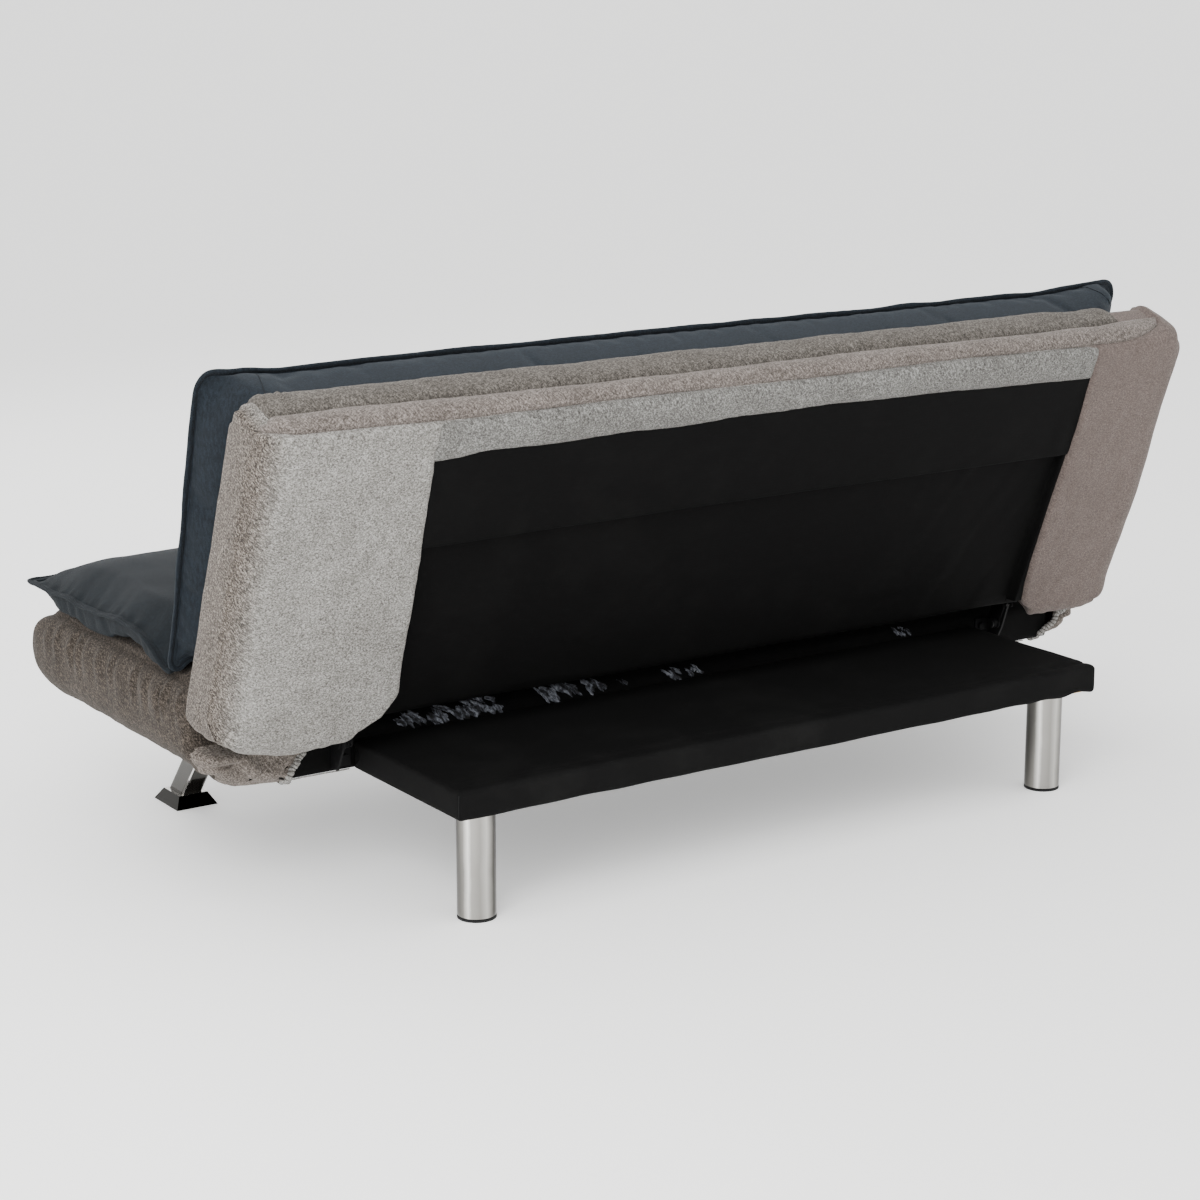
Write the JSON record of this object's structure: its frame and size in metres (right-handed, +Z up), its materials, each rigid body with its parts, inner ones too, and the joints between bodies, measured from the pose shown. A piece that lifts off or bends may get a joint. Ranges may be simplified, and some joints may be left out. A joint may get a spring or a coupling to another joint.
{
  "type": "sofa bed",
  "caption": "Armless click-clack sofa bed: padded seat, reclining padded backrest on locking hinges, rear platform on round tube legs and raked square front legs.",
  "frame": {"origin": "on the floor under the middle of the sofa: the centre of the bottom of its box", "axes": "+Z up, +X along the sofa's length towards its right-hand end as seen from the front, +Y towards the rear; the seat faces -Y"},
  "size_m": [1.8, 0.95, 0.8285],
  "materials": {
    "grey_fabric": "matte",
    "blue_fabric": "matte",
    "black_lining": "matte",
    "foam": "matte",
    "chrome": "polished",
    "steel": "satin",
    "timber": "matte",
    "plastic": "matte"
  },
  "bodies": {
    "base": {"front_foot_left": "chrome", "front_foot_right": "chrome", "front_leg_left": "chrome", "front_leg_plate_left": "steel", "front_leg_plate_right": "steel", "front_leg_right": "chrome", "hinge_pin_left": "steel", "hinge_pin_right": "steel", "pawl_pin_left": "steel", "pawl_pin_right": "steel", "pawl_spring_left": "steel", "pawl_spring_right": "steel", "platform_board": "timber", "platform_cover": "black_lining", "platform_left_rail": "timber", "platform_rear_rail": "timber", "platform_right_rail": "timber", "rear_leg_cap_left": "plastic", "rear_leg_cap_right": "plastic", "rear_leg_left": "chrome", "rear_leg_plate_left": "steel", "rear_leg_plate_right": "steel", "rear_leg_right": "chrome", "seat_bracket_bolt_1_left": "steel", "seat_bracket_bolt_1_right": "steel", "seat_bracket_bolt_2_left": "steel", "seat_bracket_bolt_2_right": "steel", "seat_bracket_left": "steel", "seat_bracket_right": "steel", "seat_centre_rail": "timber", "seat_cover": "grey_fabric", "seat_dust_cover": "black_lining", "seat_foam": "foam", "seat_front_rail": "timber", "seat_left_rail": "timber", "seat_pad": "blue_fabric", "seat_rear_rail": "timber", "seat_right_rail": "timber", "seat_spring_deck": "steel"},
    "backrest": {"back_bottom_rail": "timber", "back_bracket_bolt_1_left": "steel", "back_bracket_bolt_1_right": "steel", "back_bracket_bolt_2_left": "steel", "back_bracket_bolt_2_right": "steel", "back_bracket_left": "steel", "back_bracket_right": "steel", "back_cover": "grey_fabric", "back_dust_cover": "black_lining", "back_foam": "foam", "back_left_outrigger": "timber", "back_left_stile": "timber", "back_pad": "blue_fabric", "back_right_outrigger": "timber", "back_right_stile": "timber", "back_spring_deck": "steel", "back_top_rail": "timber", "back_upper_panel": "black_lining"},
    "left_pawl": {"pawl_left": "steel"},
    "right_pawl": {"pawl_right": "steel"}
  },
  "joints": [
    {"name": "back_recline", "type": "hinge", "parent": "base", "child": "backrest", "pos_m": [0, 0.214, 0.29], "axis": [-1, 0, 0], "range_deg": [0, 68.7]},
    {"name": "left_pawl_swing", "type": "hinge", "parent": "base", "child": "left_pawl", "pos_m": [-0.663, 0.186, 0.228], "axis": [1, 0, 0], "range_deg": [0, 37.9]},
    {"name": "right_pawl_swing", "type": "hinge", "parent": "base", "child": "right_pawl", "pos_m": [0.663, 0.186, 0.228], "axis": [1, 0, 0], "range_deg": [0, 37.9]}
  ],
  "couplings": [
    {"joint": "left_pawl_swing", "follows": "back_recline", "ratio": 0.55},
    {"joint": "right_pawl_swing", "follows": "back_recline", "ratio": 0.55}
  ]
}
